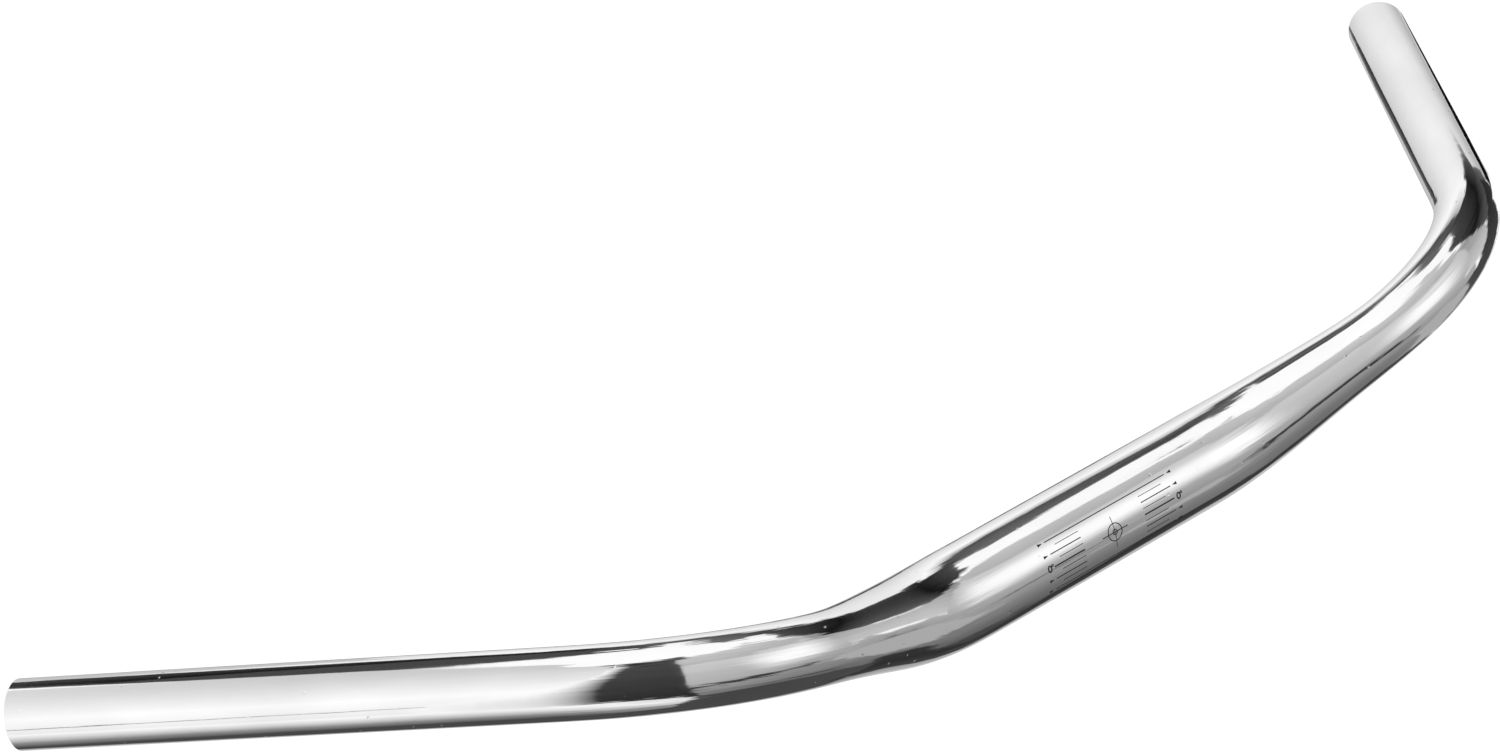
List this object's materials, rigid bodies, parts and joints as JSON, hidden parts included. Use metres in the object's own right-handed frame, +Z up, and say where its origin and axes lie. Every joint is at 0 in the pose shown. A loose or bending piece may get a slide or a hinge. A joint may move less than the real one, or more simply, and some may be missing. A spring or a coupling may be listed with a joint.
{
  "type": "swept-back handlebar",
  "caption": "One-piece polished aluminium bicycle handlebar: thick clamp zone, arms that kick forward and up, taper and sweep back to long straight grips.",
  "frame": {"origin": "middle of the clamp zone, on the tube's axis", "axes": "+X along the clamp zone towards the rider's left, -Y in the direction of travel, +Z up, with the zero mark of the printed scale facing straight ahead"},
  "size_m": [0.6256, 0.1865, 0.0816],
  "materials": {
    "polished_aluminium": "mirror-polished aluminium tube with a fine dark printed angle scale on the clamp zone"
  },
  "bodies": {
    "root": {"handlebar": "polished_aluminium"}
  },
  "joints": []
}
